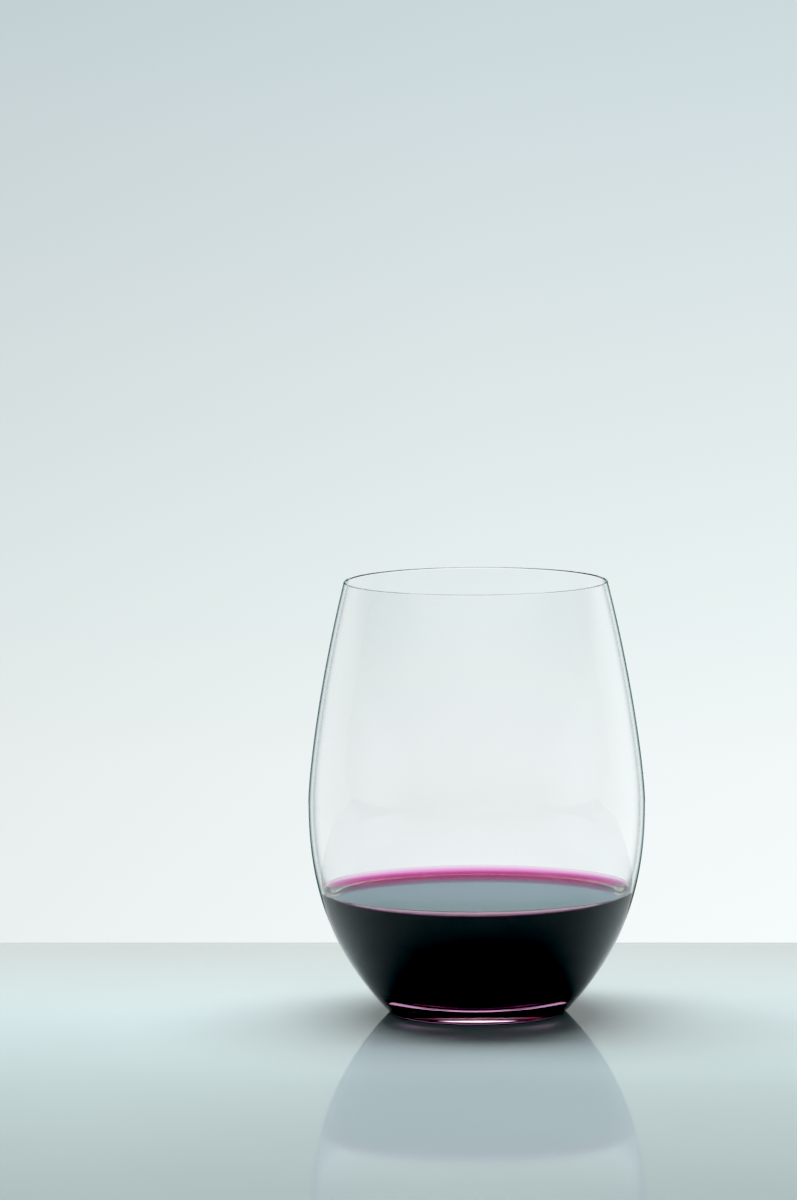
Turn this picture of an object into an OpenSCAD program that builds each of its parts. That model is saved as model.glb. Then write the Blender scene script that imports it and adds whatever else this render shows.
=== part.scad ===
// Stemless red-wine glass with a pour of wine in it.
// Millimetres, +Z up. The origin is the centre of the foot, on the surface the glass stands on.
// Both pieces are turned about Z, so each one is a single outline in radius and height.

/* [Bowl] */
// Height from the table to the top of the rim
height = 119.5; // [105:0.5:135]
// Widest outer diameter, at the belly
belly_d = 92.7; // [84:0.1:102]
// Height of the widest place above the table
belly_z = 58.3; // [50:0.1:66]
// Outer diameter at the rim
rim_d = 72.5; // [62:0.1:80]
// How far the wall leans inwards at the rim, in degrees from upright
rim_lean = 14; // [6:0.5:22]

/* [Foot] */
// Outer diameter of the flat ring that rests on the table
foot_d = 45.4; // [40:0.2:52]
// Width of that flat ring
foot_ring_w = 5; // [1:0.1:8]
// Radius of the rounded heel between the ring and the wall
heel_round = 3.2; // [1.5:0.1:5]
// How steeply the wall leaves the heel, in degrees from the table
heel_slope = 47; // [40:0.5:56]
// Height of the shallow dome pushed up under the base
punt_h = 1.2; // [0.6:0.1:2.5]

/* [Glass thickness] */
// Wall thickness at the rim, which is rounded over
rim_wall = 0.7; // [0.5:0.05:1.6]
// Wall thickness at the belly
belly_wall = 0.8; // [0.6:0.05:2]
// Wall thickness where the wall meets the heel
heel_wall = 3; // [2:0.1:4]
// Glass between the dome and the wine at the centre of the base
floor_wall = 4.8; // [3:0.1:7]

/* [Wine] */
// Height of the wine's level surface above the table
wine_level = 31.8; // [20:0.1:70]
// How far the wine climbs the wall above its level surface
wine_climb = 2.6; // [1.5:0.1:3.5]
// Slope of the wine's surface where it meets an upright wall, in degrees
wine_edge_slope = 80; // [50:1:86]
// Clearance between the wine and the glass
wine_gap = 0.05; // [0.02:0.01:0.2]

/* [Hidden] */

belly_r = belly_d / 2;
rim_r = rim_d / 2;
foot_r = foot_d / 2;
punt_r = foot_r - foot_ring_w;
floor_z = punt_h + floor_wall;

// Handle lengths of the wall's two curves, as shares of the height or the span that each curve covers
upper_belly_share = 0.11;
upper_rim_share = 0.485;
lower_heel_share = 0.37;
lower_belly_share = 0.4;
// Where along the lower wall the cavity turns in to the floor, and how its bend is shaped
floor_start_share = 0.12;
floor_bend_share = 0.95;
floor_flat_share = 0.62;
// How quickly the wall thins above the heel
thinning_power = 3;
// How far the climbing edge reaches inwards, against the edge of a wide pour
edge_reach_share = 0.5;
// The part of the wine's climb at which its surface counts as level
level_share = 0.005;

// Points along each stretch of the outlines
wall_steps = 30;
floor_steps = 20;
punt_steps = 12;
heel_steps = 8;
rim_steps = 10;
climb_steps = 14;
turn_steps = 96;

// A cubic curve through four control points, and its direction
function curve(p, t) =
    pow(1 - t, 3) * p[0] + 3 * pow(1 - t, 2) * t * p[1] + 3 * (1 - t) * t * t * p[2] + pow(t, 3) * p[3];
function heading(p, t) =
    pow(1 - t, 2) * (p[1] - p[0]) + 2 * (1 - t) * t * (p[2] - p[1]) + t * t * (p[3] - p[2]);
function unit(v) = v / norm(v);
// The direction from the outer wall into the glass
function inward(p, t) = let (h = unit(heading(p, t))) [-h[1], h[0]];
function mix(a, b, t) = a + (b - a) * t;
function reverse(list) = [for (i = [len(list) - 1 : -1 : 0]) list[i]];

// The outer wall below and above the belly
heel_top = [foot_r + heel_round * sin(heel_slope), heel_round * (1 - cos(heel_slope))];
belly = [belly_r, belly_z];
rim_edge = [rim_r, height - rim_wall / 2 * (1 - sin(rim_lean))];
lower_span = norm(belly - heel_top);
upper_span = rim_edge[1] - belly_z;
lower_wall = [
    heel_top,
    heel_top + lower_heel_share * lower_span * [cos(heel_slope), sin(heel_slope)],
    belly - [0, lower_belly_share * belly_z],
    belly,
];
upper_wall = [
    belly,
    belly + [0, upper_belly_share * upper_span],
    rim_edge + upper_rim_share * upper_span * [tan(rim_lean), -1],
    rim_edge,
];

// Glass thickness along each curve
function lower_thickness(t) = mix(belly_wall, heel_wall, pow(1 - t, thinning_power));
function upper_thickness(t) = mix(belly_wall, rim_wall, t);

// The cavity's side, moved inwards by a clearance
function lower_side(t, gap) = curve(lower_wall, t) + (lower_thickness(t) + gap) * inward(lower_wall, t);
function upper_side(t, gap) = curve(upper_wall, t) + (upper_thickness(t) + gap) * inward(upper_wall, t);

// The cavity's floor, from its centre out to where it turns up into the side
function floor_curve(gap) =
    let (
        start = [0, floor_z + gap],
        end = lower_side(floor_start_share, gap),
        slope = unit(heading(lower_wall, floor_start_share)),
        bend = floor_bend_share * (end[1] - start[1]) / slope[1]
    )
    [start, start + [floor_flat_share * end[0], 0], end - bend * slope, end];

// The whole cavity from the centre of its floor to the rim
function cavity(gap) = concat(
    [for (i = [0 : floor_steps]) curve(floor_curve(gap), i / floor_steps)],
    [for (i = [1 : wall_steps]) lower_side(mix(floor_start_share, 1, i / wall_steps), gap)],
    [for (i = [1 : wall_steps]) upper_side(i / wall_steps, gap)]
);

// The dome under the base is a cosine wave, level at its centre and where it meets the ring
punt = [for (i = [0 : punt_steps]) [punt_r * i / punt_steps, punt_h * (1 + cos(180 * i / punt_steps)) / 2]];
heel = [
    for (i = [0 : heel_steps])
        let (a = heel_slope * i / heel_steps)
        [foot_r + heel_round * sin(a), heel_round * (1 - cos(a))]
];
outside = concat(
    [for (i = [1 : wall_steps]) curve(lower_wall, i / wall_steps)],
    [for (i = [1 : wall_steps]) curve(upper_wall, i / wall_steps)]
);

// The rim is half a circle between the outer and the inner wall
rim_inner = upper_side(1, 0);
rim_centre = (rim_edge + rim_inner) / 2;
rim = [
    for (i = [1 : rim_steps - 1])
        let (a = 180 * i / rim_steps + rim_lean)
        rim_centre + rim_wall / 2 * [cos(a), sin(a)]
];

// Still wine beside a wall takes this shape: its height is set by the slope of its surface.
// Its reach is measured from the wine's side at each height, so that it follows a leaning wall.
climb_scale = wine_climb / (2 * sin(wine_edge_slope / 2));
function climb_at(a) = 2 * climb_scale * sin(a);
function reach_at(a) = edge_reach_share * climb_scale * (ln(tan(a / 2)) + 2 * cos(a));
wine_top = wine_level + wine_climb;
wine_side = [for (p = cavity(wine_gap)) if (p[1] < wine_top) p];
function wine_side_r(z) = lookup(z, [for (p = cavity(wine_gap)) [p[1], p[0]]]);
edge_angle = wine_edge_slope / 2;
level_angle = asin(level_share * sin(edge_angle));
climb = [
    for (i = [0 : climb_steps])
        let (
            a = edge_angle * pow(level_angle / edge_angle, i / climb_steps),
            z = wine_level + (climb_at(a) - climb_at(level_angle)) / (1 - level_share)
        )
        [wine_side_r(z) - (reach_at(edge_angle) - reach_at(a)), z]
];

module glass() {
    color([0.88, 0.93, 0.93, 0.4])
        rotate_extrude($fn = turn_steps)
            polygon(concat(punt, heel, outside, rim, reverse(cavity(0))));
}

module red_wine() {
    color([0.16, 0.01, 0.05])
        rotate_extrude($fn = turn_steps)
            polygon(concat(wine_side, climb, [[0, wine_level]]));
}

glass();
red_wine();
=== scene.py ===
"""The looks of a stemless wine glass with a pour of red wine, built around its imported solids.

Metres, +Z up, with the origin at the centre of the foot. Both pieces are turned about Z.
"""

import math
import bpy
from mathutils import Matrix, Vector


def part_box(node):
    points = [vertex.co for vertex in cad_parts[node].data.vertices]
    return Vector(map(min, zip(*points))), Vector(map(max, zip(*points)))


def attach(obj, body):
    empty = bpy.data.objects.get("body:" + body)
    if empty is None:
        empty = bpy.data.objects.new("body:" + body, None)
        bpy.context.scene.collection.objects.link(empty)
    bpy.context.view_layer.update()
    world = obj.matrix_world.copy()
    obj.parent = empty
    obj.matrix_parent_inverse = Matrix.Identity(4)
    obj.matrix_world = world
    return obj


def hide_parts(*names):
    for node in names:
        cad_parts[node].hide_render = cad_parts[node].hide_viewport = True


bl_info = {
    "name": "Stemless Wine Glass",
    "version": (1, 0, 0),
    "blender": (4, 5, 0),
    "location": "3D View > Sidebar > Glassware",
    "description": "Makes a clear stemless wine glass, the red wine in it, and a plain studio table",
    "category": "Object",
}

import bpy
from bpy.props import FloatProperty, FloatVectorProperty, IntProperty, PointerProperty
from mathutils import Matrix, Vector

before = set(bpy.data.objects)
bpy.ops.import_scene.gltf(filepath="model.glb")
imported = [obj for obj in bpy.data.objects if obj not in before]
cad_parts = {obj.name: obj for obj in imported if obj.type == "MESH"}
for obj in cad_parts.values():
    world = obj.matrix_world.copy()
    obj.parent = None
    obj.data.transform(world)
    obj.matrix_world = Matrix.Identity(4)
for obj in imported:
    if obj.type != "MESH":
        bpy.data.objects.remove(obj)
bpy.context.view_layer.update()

GLASS_LOW, GLASS_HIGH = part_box("glass")
WINE_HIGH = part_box("red_wine")[1]

# The photograph's frame, in pixels
PHOTO_W = 797
PHOTO_H = 1200


# Sizes that a user would change


def length(name, description, default):
    """A length in metres."""
    return FloatProperty(
        name=name, description=description, default=default, precision=5, subtype="DISTANCE", unit="LENGTH"
    )


def angle(name, description, degrees):
    """An angle, given in degrees and held in radians."""
    return FloatProperty(name=name, description=description, default=math.radians(degrees), subtype="ANGLE")


def share(name, description, default):
    """A plain number, such as a share of another size."""
    return FloatProperty(name=name, description=description, default=default)


def colour(name, description, default):
    """A linear colour."""
    return FloatVectorProperty(
        name=name, description=description, default=default, size=3, min=0, soft_max=1, subtype="COLOR"
    )


class GlassSizes(bpy.types.PropertyGroup):
    """The bowl's and the foot's sizes"""

    height: length("Height", "From the table to the top of the rim", GLASS_HIGH.z)
    belly_d: length("Belly diameter", "Widest outer diameter", GLASS_HIGH.x - GLASS_LOW.x)
    belly_z: length("Belly height", "Height of the widest place above the table", 0.0583)
    rim_d: length("Rim diameter", "Outer diameter at the rim", 0.0725)
    rim_lean: angle("Rim lean", "How far the wall leans inwards at the rim", 14)
    foot_d: length("Foot diameter", "Outer diameter of the flat ring that rests on the table", 0.0454)
    foot_ring_w: length("Foot ring width", "Width of that flat ring", 0.005)
    heel_round: length("Heel radius", "Radius of the rounded heel between ring and wall", 0.0032)
    heel_slope: angle("Heel slope", "How steeply the wall leaves the heel", 47)
    punt_h: length("Dome height", "Height of the shallow dome under the base", 0.0012)
    rim_wall: length("Rim wall", "Wall thickness at the rim", 0.0007)
    belly_wall: length("Belly wall", "Wall thickness at the belly", 0.0008)
    heel_wall: length("Heel wall", "Wall thickness where the wall meets the heel", 0.003)
    floor_wall: length("Floor wall", "Glass between dome and wine at the centre", 0.0048)
    ior: share("Refractive index", "How strongly the glass bends light", 1.5)
    sides: IntProperty(name="Sides", description="Steps round the turned surfaces", default=192, min=48)


class WineSizes(bpy.types.PropertyGroup):
    """The pour's sizes and colour"""

    climb: length("Climb", "How far the wine climbs the wall above its level surface", 0.0026)
    edge_slope: angle("Edge slope", "Slope of the wine's surface where it meets an upright wall", 80)
    edge_reach: share("Edge reach", "How far the climbing edge reaches inwards, against a wide pour's", 0.5)
    bead: length("Bead", "Radius of the rounded edge where the surface meets the glass", 0.0001)
    soak: length("Soak", "How far the wine's outer surface lies inside the glass, so no air shows", 0.00006)
    ior: share("Refractive index", "How strongly the wine bends light", 1.344)
    tint: colour("Tint", "How freely each colour passes through the wine", (0.905, 0.09375, 0.7))
    density: share("Colour density", "How strongly the wine takes in the colours that don't pass", 3000)


class StageSizes(bpy.types.PropertyGroup):
    """The table, the light and the camera"""

    table_back: length("Table edge", "How far behind the glass the table ends", 0.1218)
    table_w: length("Table width", "Width of the table", 5.0)
    table_front: length("Table front", "How far the table reaches towards the camera", 3.0)
    table_thick: length("Table thickness", "Thickness of the table top", 0.03)
    table_turn: angle("Table turn", "How far the table's far edge is turned", -1.58)
    # The three table colours carry painted shade: brightest under the glass, darker in front of it and at the far
    # edge, for how the light falls across the table
    table_near_painted_shade: colour("Near tone", "Colour of the table top in front of the glass", (0.318, 0.386, 0.408))
    table_tone: colour("Table tone", "Colour of the table top under the glass", (0.354, 0.428, 0.443))
    table_far_painted_shade: colour("Far tone", "Colour of the table top at its far edge", (0.362, 0.385, 0.375))
    light_power: FloatProperty(name="Light", description="Power of the soft light", default=24, unit="POWER")
    light_w: length("Light width", "Width of the soft light", 1.1)
    light_depth: length("Light depth", "Depth of the soft light, from front to back", 0.45)
    light_x: length("Light place", "How far to the right of the glass the soft light hangs", -0.08)
    light_back: length("Light distance", "How far behind the glass the soft light hangs", 0.27)
    light_z: length("Light height", "How high above the table the soft light hangs", 1.15)
    camera_back: length("Camera distance", "How far in front of the glass the camera stands", 1.9912)
    camera_z: length("Camera height", "How high the camera stands above the table", 0.3322)
    camera_yaw: angle("Camera yaw", "How far the camera looks to the left", 0.6095)
    camera_pitch: angle("Camera pitch", "How far the camera looks down", 6.2451)
    camera_roll: angle("Camera roll", "How far the camera is turned about its own axis", -0.3408)
    camera_lens: share("Lens", "Focal length in pixels of the photograph", 7300)


# Outlines, as points of radius and height

# Handle lengths of the wall's two curves, as shares of the height or the span that each curve covers
UPPER_BELLY_SHARE = 0.11
UPPER_RIM_SHARE = 0.485
LOWER_HEEL_SHARE = 0.37
LOWER_BELLY_SHARE = 0.4
# Where along the lower wall the cavity turns in to the floor, and how its bend is shaped
FLOOR_START_SHARE = 0.12
FLOOR_BEND_SHARE = 0.95
FLOOR_FLAT_SHARE = 0.62
THINNING_POWER = 3
# The part of the wine's climb at which its surface counts as level
LEVEL_SHARE = 0.005

# Where each wall curve has its two extra points, as shares of the curve from either end
END_SHARES = (0.0008, 0.0032)
# Steps along each stretch of the outlines
WALL_STEPS = 56
FLOOR_STEPS = 40
PUNT_STEPS = 40
HEEL_STEPS = 14
RIM_STEPS = 14
CLIMB_STEPS = 30
BEAD_STEPS = 8
LEVEL_STEPS = 12


def mix(a, b, t):
    """The value a share t of the way from a to b."""
    return a + (b - a) * t


def steps(count):
    """Even shares from 0 to 1 without the 0, with two more close to each end."""
    return [*END_SHARES, *(i / count for i in range(1, count)), *(1 - part for part in reversed(END_SHARES)), 1]


def cubic(p, t):
    """A point on the cubic curve with four control points."""
    return (1 - t) ** 3 * p[0] + 3 * (1 - t) ** 2 * t * p[1] + 3 * (1 - t) * t * t * p[2] + t**3 * p[3]


def heading(p, t):
    """The direction of that curve."""
    along = (1 - t) ** 2 * (p[1] - p[0]) + 2 * (1 - t) * t * (p[2] - p[1]) + t * t * (p[3] - p[2])
    return along.normalized()


class Profile:
    """The glass's outer and inner curves."""

    def __init__(self, sizes):
        self.sizes = sizes
        slope = sizes.heel_slope
        out = Vector((math.cos(slope), math.sin(slope)))
        self.foot_r = sizes.foot_d / 2
        self.punt_r = self.foot_r - sizes.foot_ring_w
        self.heel_centre = Vector((self.foot_r, sizes.heel_round))
        heel_top = self.heel_centre + sizes.heel_round * Vector((math.sin(slope), -math.cos(slope)))
        belly = Vector((sizes.belly_d / 2, sizes.belly_z))
        rim_z = sizes.height - sizes.rim_wall / 2 * (1 - math.sin(sizes.rim_lean))
        self.rim_edge = Vector((sizes.rim_d / 2, rim_z))
        lower_span = (belly - heel_top).length
        upper_span = rim_z - sizes.belly_z
        self.lower = (
            heel_top,
            heel_top + LOWER_HEEL_SHARE * lower_span * out,
            belly - Vector((0, LOWER_BELLY_SHARE * sizes.belly_z)),
            belly,
        )
        self.upper = (
            belly,
            belly + Vector((0, UPPER_BELLY_SHARE * upper_span)),
            self.rim_edge + UPPER_RIM_SHARE * upper_span * Vector((math.tan(sizes.rim_lean), -1)),
            self.rim_edge,
        )

    def inset(self, curve, t, depth):
        """A point on the curve, moved into the glass."""
        along = heading(curve, t)
        return cubic(curve, t) + depth * Vector((-along.y, along.x))

    def lower_side(self, t, gap=0):
        """The cavity's side from the heel to the belly."""
        wall = mix(self.sizes.belly_wall, self.sizes.heel_wall, (1 - t) ** THINNING_POWER)
        return self.inset(self.lower, t, wall + gap)

    def upper_side(self, t, gap=0):
        """The cavity's side from the belly to the rim."""
        return self.inset(self.upper, t, mix(self.sizes.belly_wall, self.sizes.rim_wall, t) + gap)

    def floor(self, gap=0):
        """The control points of the cavity's floor, from its centre to the side."""
        start = Vector((0, self.sizes.punt_h + self.sizes.floor_wall + gap))
        end = self.lower_side(FLOOR_START_SHARE, gap)
        slope = heading(self.lower, FLOOR_START_SHARE)
        bend = FLOOR_BEND_SHARE * (end.y - start.y) / slope.y
        return start, start + Vector((FLOOR_FLAT_SHARE * end.x, 0)), end - bend * slope, end

    def cavity(self, gap=0):
        """The whole cavity, from the centre of its floor to the rim."""
        floor = self.floor(gap)
        points = [cubic(floor, i / FLOOR_STEPS) for i in range(FLOOR_STEPS + 1)]
        points += [self.lower_side(mix(FLOOR_START_SHARE, 1, t), gap) for t in steps(WALL_STEPS)]
        points += [self.upper_side(t, gap) for t in steps(WALL_STEPS)]
        return points

    def punt(self):
        """The dome under the base: a cosine wave, from its centre out to the ring."""
        for i in range(PUNT_STEPS + 1):
            part = i / PUNT_STEPS
            yield Vector((self.punt_r * part, self.sizes.punt_h * (1 + math.cos(math.pi * part)) / 2))

    def heel(self):
        """The rounded heel, from the ring to the wall."""
        for i in range(HEEL_STEPS + 1):
            turn = self.sizes.heel_slope * i / HEEL_STEPS
            yield self.heel_centre + self.sizes.heel_round * Vector((math.sin(turn), -math.cos(turn)))

    def rim(self):
        """Half a circle from the outer wall over to the inner wall."""
        centre = (self.rim_edge + self.upper_side(1)) / 2
        for i in range(1, RIM_STEPS):
            turn = math.pi * i / RIM_STEPS + self.sizes.rim_lean
            yield centre + self.sizes.rim_wall / 2 * Vector((math.cos(turn), math.sin(turn)))

    def outline(self):
        """The glass's closed outline, from the dome's centre round to the floor's centre."""
        outside = [cubic(self.lower, t) for t in steps(WALL_STEPS)]
        outside += [cubic(self.upper, t) for t in steps(WALL_STEPS)]
        return [*self.punt(), *self.heel(), *outside, *self.rim(), *reversed(self.cavity())]


def radius_at(points, z):
    """The radius where an upward run of points reaches a height."""
    for below, above in zip(points, points[1:]):
        if below.y <= z <= above.y:
            return mix(below.x, above.x, (z - below.y) / (above.y - below.y))
    raise ValueError(f"the cavity doesn't reach a height of {z} m")


def with_height(points, z):
    """The points of a closed outline, with one more where it comes down past a height."""
    for above, below in zip(points, points[1:]):
        yield above
        if below.y < z < above.y:
            yield above.lerp(below, (above.y - z) / (above.y - below.y))
    yield points[-1]


def wine_outline(profile, wine, top):
    """The wine's outline, from the centre of its underside up the wall and over its surface.

    Still liquid beside a wall takes this shape: its height is set by the slope of its surface.
    Its reach is measured from the wine's side at each height, so that it follows a leaning wall.
    """
    cavity = profile.cavity(-wine.soak)
    edge_r = radius_at(cavity, top)
    level = top - wine.climb
    steepest = wine.edge_slope / 2
    bead_z = wine.bead * (1 - math.cos(wine.edge_slope))
    scale = (wine.climb - bead_z) / (2 * math.sin(steepest))
    flattest = math.asin(LEVEL_SHARE * math.sin(steepest))

    def surface(a):
        reach = wine.edge_reach * scale * (math.log(math.tan(a / 2)) + 2 * math.cos(a))
        rise = 2 * scale * (math.sin(a) - math.sin(flattest)) / (1 - LEVEL_SHARE)
        return Vector((reach, level + rise))

    edge = surface(steepest)
    points = [p for p in cavity if p.y < top]
    for i in range(BEAD_STEPS + 1):
        turn = wine.edge_slope * i / BEAD_STEPS
        points.append(Vector((edge_r, top)) - wine.bead * Vector((math.sin(turn), 1 - math.cos(turn))))
    inset = radius_at(cavity, points[-1].y) - points[-1].x
    for i in range(1, CLIMB_STEPS + 1):
        point = surface(steepest * (flattest / steepest) ** (i / CLIMB_STEPS))
        points.append(Vector((radius_at(cavity, point.y) - inset + point.x - edge.x, point.y)))
    inner_r = points[-1].x
    for i in range(1, LEVEL_STEPS + 1):
        points.append(Vector((inner_r * (1 - i / LEVEL_STEPS), level)))
    return points


# Parts of node trees


def connect(tree, source, target):
    """Joins two sockets."""
    tree.links.new(source, target)


def math_node(tree, operation, *values):
    """A Math node, with sockets or numbers as its values."""
    node = tree.nodes.new("ShaderNodeMath")
    node.operation = operation
    for socket, value in zip(node.inputs, values):
        if isinstance(value, bpy.types.NodeSocket):
            connect(tree, value, socket)
        else:
            socket.default_value = value
    return node.outputs[0]


def tones(tree, value, low, high, stops):
    """A colour ramp over a value: each stop is a place between low and high, and its colour."""
    scaled = math_node(tree, "DIVIDE", math_node(tree, "SUBTRACT", value, low), high - low)
    node = tree.nodes.new("ShaderNodeValToRGB")
    elements = node.color_ramp.elements
    elements.remove(elements[-1])
    for at, tone in stops:
        place = (at - low) / (high - low)
        if at == stops[0][0]:
            element = elements[0]
            element.position = place
        else:
            element = elements.new(place)
        element.color = (*tone, 1) if isinstance(tone, tuple) else (tone, tone, tone, 1)
    connect(tree, scaled, node.inputs["Fac"])
    return node.outputs["Color"]


def blend(tree, way, factor, first, second):
    """A Mix node for two colours."""
    node = tree.nodes.new("ShaderNodeMix")
    node.data_type = "RGBA"
    node.blend_type = way
    node.clamp_result = False
    if isinstance(factor, bpy.types.NodeSocket):
        connect(tree, factor, node.inputs["Factor"])
    else:
        node.inputs["Factor"].default_value = factor
    connect(tree, first, node.inputs["A"])
    connect(tree, second, node.inputs["B"])
    return node.outputs["Result"]


def rise(tree, value, low, high):
    """A smooth step from 0 to 1 between two values."""
    node = tree.nodes.new("ShaderNodeMapRange")
    node.interpolation_type = "SMOOTHSTEP"
    node.inputs["From Min"].default_value = low
    node.inputs["From Max"].default_value = high
    connect(tree, value, node.inputs["Value"])
    return node.outputs["Result"]


# Turning an outline into a surface


# How close together points count as one, in metres, and the turn above which an edge stays crisp
SEAM = 1e-6
CRISP_ABOVE = math.radians(35)


def turning_tree():
    """A node tree that turns an open outline in X and Z about Z, and closes its seam and poles."""
    tree = bpy.data.node_groups.new("Turned Outline", "GeometryNodeTree")
    for name, kind, way in (
        ("Outline", "NodeSocketGeometry", "INPUT"),
        ("Sides", "NodeSocketInt", "INPUT"),
        ("Seam", "NodeSocketFloat", "INPUT"),
        ("Crisp Above", "NodeSocketFloat", "INPUT"),
        ("Material", "NodeSocketMaterial", "INPUT"),
        ("Surface", "NodeSocketGeometry", "OUTPUT"),
    ):
        tree.interface.new_socket(name, in_out=way, socket_type=kind)
    given = tree.nodes.new("NodeGroupInput").outputs
    count = tree.nodes.new("GeometryNodeAttributeDomainSize")
    connect(tree, given["Outline"], count.inputs["Geometry"])

    columns = math_node(tree, "ADD", given["Sides"], 1)
    grid = tree.nodes.new("GeometryNodeMeshGrid")
    connect(tree, count.outputs["Point Count"], grid.inputs["Vertices X"])
    connect(tree, columns, grid.inputs["Vertices Y"])

    index = tree.nodes.new("GeometryNodeInputIndex").outputs["Index"]
    row = math_node(tree, "FLOOR", math_node(tree, "DIVIDE", index, columns))
    step = math_node(tree, "SUBTRACT", index, math_node(tree, "MULTIPLY", row, columns))
    # An outline that runs outwards and up is turned clockwise, so its faces point outwards
    turn = math_node(tree, "MULTIPLY", math_node(tree, "DIVIDE", step, given["Sides"]), -math.tau)

    sample = tree.nodes.new("GeometryNodeSampleIndex")
    sample.data_type = "FLOAT_VECTOR"
    connect(tree, given["Outline"], sample.inputs["Geometry"])
    connect(tree, tree.nodes.new("GeometryNodeInputPosition").outputs["Position"], sample.inputs["Value"])
    connect(tree, row, sample.inputs["Index"])
    point = tree.nodes.new("ShaderNodeSeparateXYZ")
    connect(tree, sample.outputs["Value"], point.inputs["Vector"])

    place = tree.nodes.new("ShaderNodeCombineXYZ")
    radius = point.outputs["X"]
    connect(tree, math_node(tree, "MULTIPLY", radius, math_node(tree, "COSINE", turn)), place.inputs["X"])
    connect(tree, math_node(tree, "MULTIPLY", radius, math_node(tree, "SINE", turn)), place.inputs["Y"])
    connect(tree, point.outputs["Z"], place.inputs["Z"])
    moved = tree.nodes.new("GeometryNodeSetPosition")
    connect(tree, grid.outputs["Mesh"], moved.inputs["Geometry"])
    connect(tree, place.outputs["Vector"], moved.inputs["Position"])

    closed = tree.nodes.new("GeometryNodeMergeByDistance")
    connect(tree, moved.outputs["Geometry"], closed.inputs["Geometry"])
    connect(tree, given["Seam"], closed.inputs["Distance"])
    smooth = tree.nodes.new("GeometryNodeSetShadeSmooth")
    connect(tree, closed.outputs["Geometry"], smooth.inputs["Geometry"])
    # An edge that turns by more than the limit stays crisp
    bend = tree.nodes.new("GeometryNodeInputMeshEdgeAngle").outputs["Unsigned Angle"]
    crisp = tree.nodes.new("GeometryNodeSetShadeSmooth")
    crisp.domain = "EDGE"
    crisp.inputs["Shade Smooth"].default_value = False
    connect(tree, smooth.outputs["Geometry"], crisp.inputs["Geometry"])
    connect(tree, math_node(tree, "GREATER_THAN", bend, given["Crisp Above"]), crisp.inputs["Selection"])
    real = tree.nodes.new("GeometryNodeRealizeInstances")
    connect(tree, crisp.outputs["Geometry"], real.inputs["Geometry"])
    finish = tree.nodes.new("GeometryNodeSetMaterial")
    connect(tree, real.outputs["Geometry"], finish.inputs["Geometry"])
    connect(tree, given["Material"], finish.inputs["Material"])
    connect(tree, finish.outputs["Geometry"], tree.nodes.new("NodeGroupOutput").inputs["Surface"])
    return tree


def turned(name, outline, sides, material):
    """A plain mesh object: the outline turned about Z."""
    tree = bpy.data.node_groups.get("Turned Outline") or turning_tree()
    mesh = bpy.data.meshes.new(name + "_outline")
    edges = [(i, i + 1) for i in range(len(outline) - 1)]
    mesh.from_pydata([(p.x, 0, p.y) for p in outline], edges, [])
    lathe = bpy.data.objects.new(name + "_outline", mesh)
    bpy.context.scene.collection.objects.link(lathe)
    modifier = lathe.modifiers.new("Turned Outline", "NODES")
    modifier.node_group = tree
    values = {"Sides": sides, "Seam": SEAM, "Crisp Above": CRISP_ABOVE, "Material": material}
    for item in tree.interface.items_tree:
        if item.name in values:
            modifier[item.identifier] = values[item.name]
    evaluated = lathe.evaluated_get(bpy.context.evaluated_depsgraph_get())
    surface = bpy.data.meshes.new_from_object(evaluated)
    bpy.data.objects.remove(lathe)
    bpy.data.meshes.remove(mesh)
    surface.name = name
    surface.materials.clear()
    surface.materials.append(material)
    piece = bpy.data.objects.new(name, surface)
    bpy.context.scene.collection.objects.link(piece)
    return piece


# Materials


# Wine against glass mirrors next to nothing, so both leave out what they mirror at right angles there
NO_MIRROR = (0, 0, 0, 1)
FULL_MIRROR = (1, 1, 1, 1)
# The noise behind the soft marks: its detail, and the values between which the marks grow
NOISE_DETAIL = 3
NOISE_LOW, NOISE_HIGH = 0.35, 0.65
# Soft marks a metre, the most roughness they bring, and how deep the glass ripples in metres
GLASS_MARKS, GLASS_HAZE, GLASS_RIPPLE = 30, 0.01, 4e-6
WINE_MARKS, WINE_HAZE = 60, 0.01
# Soft marks a metre on the table, and how far they lighten or darken it
TABLE_MARKS, TABLE_MOTTLE = 12, 0.015
TABLE_ROUGHNESS = 0.5
TABLE_COAT, TABLE_COAT_ROUGHNESS, TABLE_COAT_IOR = 0.333, 0.05, 1.45


def new_material(name):
    """A material with a Principled shader, and that shader."""
    material = bpy.data.materials.new(name)
    material.use_nodes = True
    shader = material.node_tree.nodes["Principled BSDF"]
    return material, shader


def marks_tree():
    """A shader node group: soft marks over a surface, as a value between two others and as a height."""
    tree = bpy.data.node_groups.new("Soft Marks", "ShaderNodeTree")
    for way, names in (("INPUT", ("Scale", "Low", "High")), ("OUTPUT", ("Value", "Height"))):
        for name in names:
            tree.interface.new_socket(name, in_out=way, socket_type="NodeSocketFloat")
    given = tree.nodes.new("NodeGroupInput").outputs
    noise = tree.nodes.new("ShaderNodeTexNoise")
    noise.inputs["Detail"].default_value = NOISE_DETAIL
    connect(tree, tree.nodes.new("ShaderNodeTexCoord").outputs["Object"], noise.inputs["Vector"])
    connect(tree, given["Scale"], noise.inputs["Scale"])
    spread = tree.nodes.new("ShaderNodeMapRange")
    spread.inputs["From Min"].default_value = NOISE_LOW
    spread.inputs["From Max"].default_value = NOISE_HIGH
    connect(tree, noise.outputs["Fac"], spread.inputs["Value"])
    connect(tree, given["Low"], spread.inputs["To Min"])
    connect(tree, given["High"], spread.inputs["To Max"])
    made = tree.nodes.new("NodeGroupOutput").inputs
    connect(tree, spread.outputs["Result"], made["Value"])
    connect(tree, noise.outputs["Fac"], made["Height"])
    return tree


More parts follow.
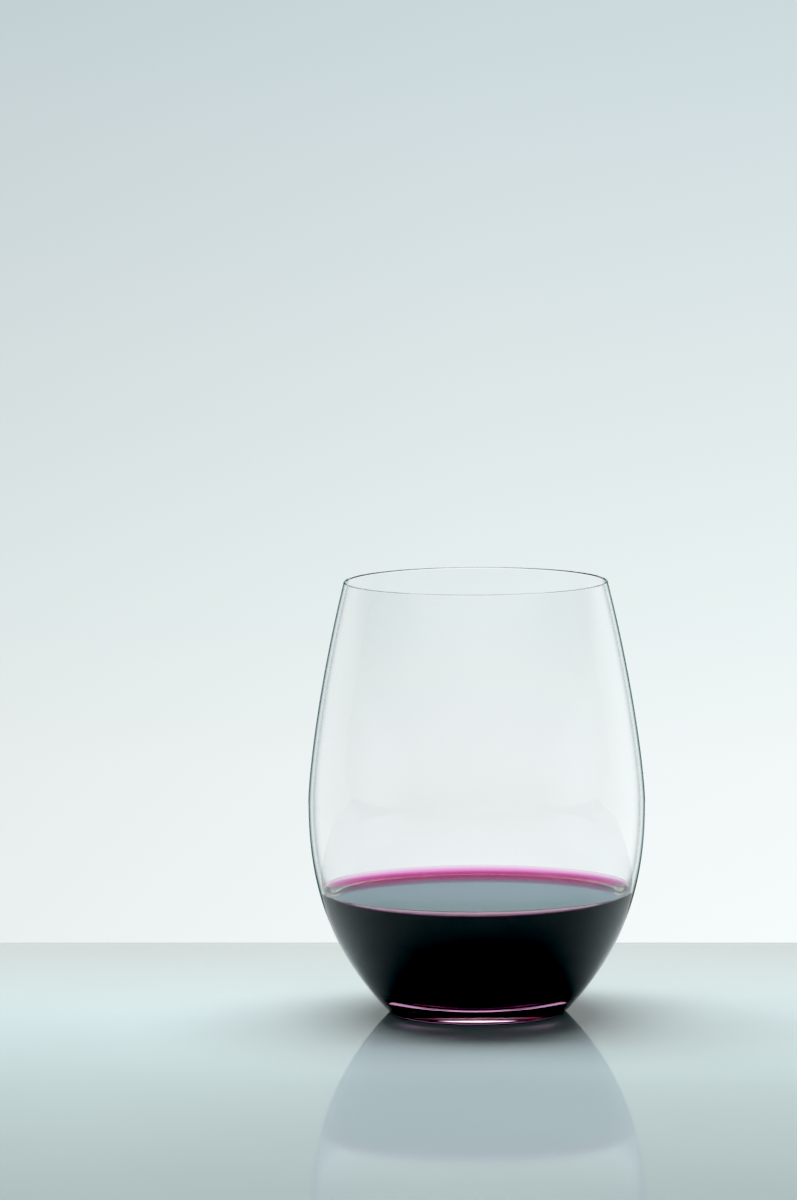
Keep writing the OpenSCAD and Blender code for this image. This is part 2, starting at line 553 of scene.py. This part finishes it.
def marks(tree, scale, low, high):
    """The soft marks, placed in a material with its own values."""
    node = tree.nodes.new("ShaderNodeGroup")
    node.node_tree = bpy.data.node_groups.get("Soft Marks") or marks_tree()
    for name, value in (("Scale", scale), ("Low", low), ("High", high)):
        node.inputs[name].default_value = value
    return node.outputs


def ripple(tree, shader, height, depth):
    """Lifts the surface by a height, without moving it."""
    bump = tree.nodes.new("ShaderNodeBump")
    bump.inputs["Distance"].default_value = depth
    connect(tree, height, bump.inputs["Height"])
    connect(tree, bump.outputs["Normal"], shader.inputs["Normal"])


def clear_glass(name, sizes, mirror):
    """Colourless polished glass, with the tint of what it mirrors at right angles.

    Blown glass is never quite even: its surface has long, shallow ripples.
    """
    material, shader = new_material(name)
    tree = material.node_tree
    shader.inputs["Base Color"].default_value = (1, 1, 1, 1)
    shader.inputs["Specular Tint"].default_value = mirror
    finish = marks(tree, GLASS_MARKS, 0, GLASS_HAZE)
    connect(tree, finish["Value"], shader.inputs["Roughness"])
    ripple(tree, shader, finish["Height"], GLASS_RIPPLE)
    shader.inputs["IOR"].default_value = sizes.ior
    shader.inputs["Transmission Weight"].default_value = 1
    return material


def red_wine(wine):
    """Clear wine that turns pink, red and then black with depth."""
    material, shader = new_material("deep_red_wine")
    tree = material.node_tree
    shader.inputs["Base Color"].default_value = (1, 1, 1, 1)
    connect(tree, marks(tree, WINE_MARKS, 0, WINE_HAZE)["Value"], shader.inputs["Roughness"])
    shader.inputs["IOR"].default_value = wine.ior
    shader.inputs["Specular Tint"].default_value = NO_MIRROR
    shader.inputs["Transmission Weight"].default_value = 1
    depth = tree.nodes.new("ShaderNodeVolumeAbsorption")
    depth.inputs["Color"].default_value = (*wine.tint, 1)
    depth.inputs["Density"].default_value = wine.density
    connect(tree, depth.outputs["Volume"], tree.nodes["Material Output"].inputs["Volume"])
    return material


def table_top(stage):
    """The pale satin table top, faintly mottled, with painted shade graded from front to back: brightest under the
    glass, darker in front of it and at the far edge.
    """
    material, shader = new_material("table_top")
    tree = material.node_tree
    mottle = marks(tree, TABLE_MARKS, 1 - TABLE_MOTTLE, 1 + TABLE_MOTTLE)["Value"]
    place = tree.nodes.new("ShaderNodeSeparateXYZ")
    connect(tree, tree.nodes.new("ShaderNodeTexCoord").outputs["Object"], place.inputs["Vector"])
    back = stage.table_back
    # Painted shade: the colour runs from the darker near tone in front, through the brightest tone under the glass,
    # to the darker far tone
    stops = [(-back, stage.table_near_painted_shade), (0, stage.table_tone), (back, stage.table_far_painted_shade)]
    shade = tones(tree, place.outputs["Y"], -back, back, [(at, tuple(tone)) for at, tone in stops])
    tone = tree.nodes.new("ShaderNodeVectorMath")
    tone.operation = "SCALE"
    connect(tree, shade, tone.inputs[0])
    connect(tree, mottle, tone.inputs["Scale"])
    connect(tree, tone.outputs["Vector"], shader.inputs["Base Color"])
    # The mirror image in it comes from a thin, glossy coat
    shader.inputs["Specular IOR Level"].default_value = 0
    shader.inputs["Roughness"].default_value = TABLE_ROUGHNESS
    shader.inputs["Coat Weight"].default_value = TABLE_COAT
    shader.inputs["Coat Roughness"].default_value = TABLE_COAT_ROUGHNESS
    shader.inputs["Coat IOR"].default_value = TABLE_COAT_IOR
    return material


# The operators that make the pieces


class GLASSWARE_OT_blow_glass(bpy.types.Operator):
    """Make the glass: bowl, rim, heel and base in one turned piece"""

    bl_idname = "glassware.blow_glass"
    bl_label = "Glass"

    def execute(self, context):
        sizes = context.scene.glass_sizes
        outline = list(with_height(Profile(sizes).outline(), WINE_HIGH.z))
        piece = turned("clear_bowl", outline, sizes.sides, clear_glass("polished_glass", sizes, FULL_MIRROR))
        piece.data.materials.append(clear_glass("wetted_glass", sizes, NO_MIRROR))
        for face in piece.data.polygons:
            if face.normal.z > 0 and face.center.z < WINE_HIGH.z:
                face.material_index = 1
        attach(piece, "root")
        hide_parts("glass")
        return {"FINISHED"}


class GLASSWARE_OT_pour_wine(bpy.types.Operator):
    """Make the wine, with the edge that climbs the wall"""

    bl_idname = "glassware.pour_wine"
    bl_label = "Wine"

    def execute(self, context):
        sizes, wine = context.scene.glass_sizes, context.scene.wine_sizes
        outline = wine_outline(Profile(sizes), wine, WINE_HIGH.z)
        piece = turned("poured_wine", outline, sizes.sides, red_wine(wine))
        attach(piece, "root")
        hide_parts("red_wine")
        return {"FINISHED"}


# The stage: the studio round the glass, the table, the light and the camera

# Each list holds stops of an angle in degrees and what is seen there: a colour, or a share of what is behind it.
# The backdrop over its height: up to a split, and over it the finer stops that the wine and the table mirror
BACKDROP = [
    (-9, (0.9, 0.945, 0.95)), (-7.5, (0.87, 0.91, 0.915)), (-6.2, (0.79, 0.87, 0.865)),
    (-4.7, (0.735, 0.805, 0.815)), (-3.1, (0.665, 0.745, 0.765)), (-1.5, (0.6, 0.69, 0.71)),
    (3, (0.55, 0.7, 0.75)), (7, (0.6, 0.86, 0.98)),
]
BACKDROP_TOP = [
    (7, (0.6, 0.86, 0.98)), (8.4, (0.74, 0.96, 1.1)), (8.65, (0.7, 0.94, 1.07)),
    (8.85, (0.61, 0.86, 0.93)), (9.02, (0.62, 0.82, 0.86)), (9.15, (1.5, 1.55, 1.5)),
    (9.25, (1.62, 1.65, 1.62)), (9.45, (1.56, 1.68, 1.68)), (9.7, (1.35, 1.44, 1.38)),
    (10, (1.08, 1.2, 0.96)), (10.5, (0.7, 0.76, 0.55)), (11, (0.44, 0.46, 0.34)),
]
BACKDROP_SPLIT, BACKDROP_REACH = 7, 12
# The same backdrop from left to right
BACKDROP_SIDEWAYS = [(-10, 0.84), (-4, 0.92), (0, 1.0), (4, 1.04), (10, 1.06)]
# The dark gap between the backdrop and the walls, over the angle to either side
GAP = [
    (5, 1.0), (6, (0.84, 0.9, 0.9)), (7, (0.5, 0.59, 0.59)), (8.2, (0.08, 0.14, 0.13)), (9.5, (0.0, 0.02, 0.02)),
    (12, (0.0, 0.02, 0.02)), (14, (0.16, 0.24, 0.24)), (17, (0.44, 0.56, 0.56)), (20, (0.74, 0.88, 0.88)), (24, 1.0),
]
GAP_REACH = 30
# The walls all the way round, and over their height at the sides and at the rear
WALLS = [
    (-180, (0.9, 0.92, 0.92)), (-130, (0.76, 0.79, 0.79)), (-85, (0.55, 0.58, 0.58)), (-50, (0.84, 0.87, 0.88)),
    (-12, (0.84, 0.87, 0.88)), (12, (0.95, 0.98, 0.98)), (50, (0.95, 0.98, 0.98)), (85, (0.6, 0.63, 0.63)),
    (130, (0.76, 0.79, 0.79)), (180, (0.9, 0.92, 0.92)),
]
SIDES_UP = [(0, 1.0), (6, 0.95), (9, 0.6), (14, 0.4), (25, 0.25), (40, 0.1)]
REAR_UP = [(0, 0.38), (4, 0.44), (10, 0.54), (16, 0.6), (21, 0.85), (27, 0.8), (40, 0.1)]
WALLS_REACH = 40
# The angles to either side between which the backdrop turns into walls, and side walls into the rear wall
WALLS_FROM = (9, 13)
REAR_FROM = (100, 140)
# The bright panel over the backdrop, over its height and over the angle to either side
PANEL_UP = [(11.6, 0.0), (12.6, 2.0), (38, 2.0), (44, 0.0)]
PANEL_SIDEWAYS = [(16, 1.0), (26, 0.0)]
PANEL_REACH = 60

# The camera's sensor width in millimetres, and the distances in metres between which it sees
SENSOR_W = 36
CLIP_NEAR, CLIP_FAR = 0.01, 100
# How dark a tone is drawn as black, how often light is followed, and the brightest an indirect sample may be
BLACK_LEVEL = 0.017
CLEAR_BOUNCES, ALL_BOUNCES = 32, 48
BRIGHTEST_SAMPLE = 3


def studio_world():
    """Light from all round: a backdrop, a dark gap on each side of it, pale walls, and a bright panel over it."""
    world = bpy.data.worlds.new("studio")
    world.use_nodes = True
    tree = world.node_tree
    ray = tree.nodes.new("ShaderNodeSeparateXYZ")
    connect(tree, tree.nodes.new("ShaderNodeTexCoord").outputs["Generated"], ray.inputs["Vector"])
    x, y, z = ray.outputs

    # Elevation and azimuth of the ray in degrees: azimuth is zero behind the glass and grows to the right
    elevation = math_node(tree, "DEGREES", math_node(tree, "ARCSINE", z))
    azimuth = math_node(tree, "DEGREES", math_node(tree, "ARCTAN2", x, y))
    aside = math_node(tree, "ABSOLUTE", azimuth)

    backdrop = blend(
        tree,
        "MIX",
        math_node(tree, "GREATER_THAN", elevation, BACKDROP_SPLIT),
        tones(tree, elevation, -BACKDROP_REACH, BACKDROP_REACH, BACKDROP),
        tones(tree, elevation, BACKDROP_SPLIT, BACKDROP_REACH, BACKDROP_TOP),
    )
    sideways = tones(tree, azimuth, -BACKDROP_REACH, BACKDROP_REACH, BACKDROP_SIDEWAYS)
    backdrop = blend(tree, "MULTIPLY", 1, backdrop, sideways)
    upwards = blend(
        tree,
        "MIX",
        rise(tree, aside, *REAR_FROM),
        tones(tree, elevation, 0, WALLS_REACH, SIDES_UP),
        tones(tree, elevation, 0, WALLS_REACH, REAR_UP),
    )
    walls = blend(tree, "MULTIPLY", 1, tones(tree, azimuth, -180, 180, WALLS), upwards)
    level = blend(tree, "MIX", rise(tree, aside, *WALLS_FROM), backdrop, walls)
    level = blend(tree, "MULTIPLY", 1, level, tones(tree, aside, 0, GAP_REACH, GAP))
    panel = blend(
        tree,
        "MULTIPLY",
        1,
        tones(tree, elevation, 0, PANEL_REACH, PANEL_UP),
        tones(tree, aside, 0, PANEL_REACH, PANEL_SIDEWAYS),
    )
    light = blend(tree, "ADD", 1, level, panel)
    connect(tree, light, tree.nodes["Background"].inputs["Color"])
    return world


def table(stage):
    """The table top, a slab with its far edge close behind the glass."""
    right, front, back = stage.table_w / 2, -stage.table_front, stage.table_back
    top, under = 0, -stage.table_thick
    slope = math.tan(stage.table_turn)
    corners = [(-right, front), (right, front), (right, back + slope * right), (-right, back - slope * right)]
    points = [(x, y, z) for z in (under, top) for x, y in corners]
    faces = [(3, 2, 1, 0), (4, 5, 6, 7), (0, 1, 5, 4), (1, 2, 6, 5), (2, 3, 7, 6), (3, 0, 4, 7)]
    mesh = bpy.data.meshes.new("table")
    mesh.from_pydata(points, [], faces)
    mesh.materials.append(table_top(stage))
    slab = bpy.data.objects.new("table", mesh)
    bpy.context.scene.collection.objects.link(slab)
    return slab


def soft_light(stage):
    """A broad soft light over and behind the glass."""
    lamp = bpy.data.lights.new("softbox", "AREA")
    lamp.shape = "RECTANGLE"
    lamp.size = stage.light_w
    lamp.size_y = stage.light_depth
    lamp.energy = stage.light_power
    holder = bpy.data.objects.new("softbox", lamp)
    holder.location = (stage.light_x, stage.light_back, stage.light_z)
    # It lights the scene and has no sharp mirror image of its own
    holder.visible_glossy = False
    bpy.context.scene.collection.objects.link(holder)


def camera(stage):
    """The camera, at the photograph's viewing angle."""
    lens = bpy.data.cameras.new("camera")
    lens.sensor_width = SENSOR_W
    lens.lens = lens.sensor_width * stage.camera_lens / max(PHOTO_W, PHOTO_H)
    lens.clip_start = CLIP_NEAR
    lens.clip_end = CLIP_FAR
    holder = bpy.data.objects.new("camera", lens)
    level = Matrix.Rotation(math.radians(90), 4, "X")
    look = Matrix.Rotation(stage.camera_yaw, 4, "Z") @ Matrix.Rotation(-stage.camera_pitch, 4, "X") @ level
    place = Matrix.Translation((0, -stage.camera_back, stage.camera_z))
    holder.matrix_world = place @ look @ Matrix.Rotation(stage.camera_roll, 4, "Z")
    bpy.context.scene.collection.objects.link(holder)
    bpy.context.scene.camera = holder


class GLASSWARE_OT_set_stage(bpy.types.Operator):
    """Make the table, the light and the camera"""

    bl_idname = "glassware.set_stage"
    bl_label = "Stage"

    def execute(self, context):
        scene, stage = context.scene, context.scene.stage_sizes
        scene.world = studio_world()
        table(stage)
        soft_light(stage)
        camera(stage)
        view, cycles = scene.view_settings, scene.cycles
        view.view_transform = "Standard"
        view.use_curve_mapping = True
        view.curve_mapping.black_level = (BLACK_LEVEL,) * 3
        view.curve_mapping.update()
        cycles.transmission_bounces = cycles.glossy_bounces = CLEAR_BOUNCES
        cycles.max_bounces = ALL_BOUNCES
        cycles.sample_clamp_indirect = BRIGHTEST_SAMPLE
        return {"FINISHED"}


class GLASSWARE_PT_pieces(bpy.types.Panel):
    """The glass, the wine and the stage"""

    bl_idname = "GLASSWARE_PT_pieces"
    bl_label = "Stemless wine glass"
    bl_space_type = "VIEW_3D"
    bl_region_type = "UI"
    bl_category = "Glassware"

    def draw(self, context):
        for operator in (GLASSWARE_OT_blow_glass, GLASSWARE_OT_pour_wine, GLASSWARE_OT_set_stage):
            self.layout.operator(operator.bl_idname)


CLASSES = (
    GlassSizes,
    WineSizes,
    StageSizes,
    GLASSWARE_OT_blow_glass,
    GLASSWARE_OT_pour_wine,
    GLASSWARE_OT_set_stage,
    GLASSWARE_PT_pieces,
)


def register():
    """Registers the classes and the sizes that the scene holds."""
    for cls in CLASSES:
        bpy.utils.register_class(cls)
    bpy.types.Scene.glass_sizes = PointerProperty(type=GlassSizes)
    bpy.types.Scene.wine_sizes = PointerProperty(type=WineSizes)
    bpy.types.Scene.stage_sizes = PointerProperty(type=StageSizes)


def unregister():
    """Takes them out again."""
    del bpy.types.Scene.stage_sizes, bpy.types.Scene.wine_sizes, bpy.types.Scene.glass_sizes
    for cls in reversed(CLASSES):
        bpy.utils.unregister_class(cls)


def main():
    """Makes every piece in order."""
    register()
    bpy.ops.glassware.set_stage()
    bpy.ops.glassware.blow_glass()
    bpy.ops.glassware.pour_wine()


if __name__ == "__main__":
    main()
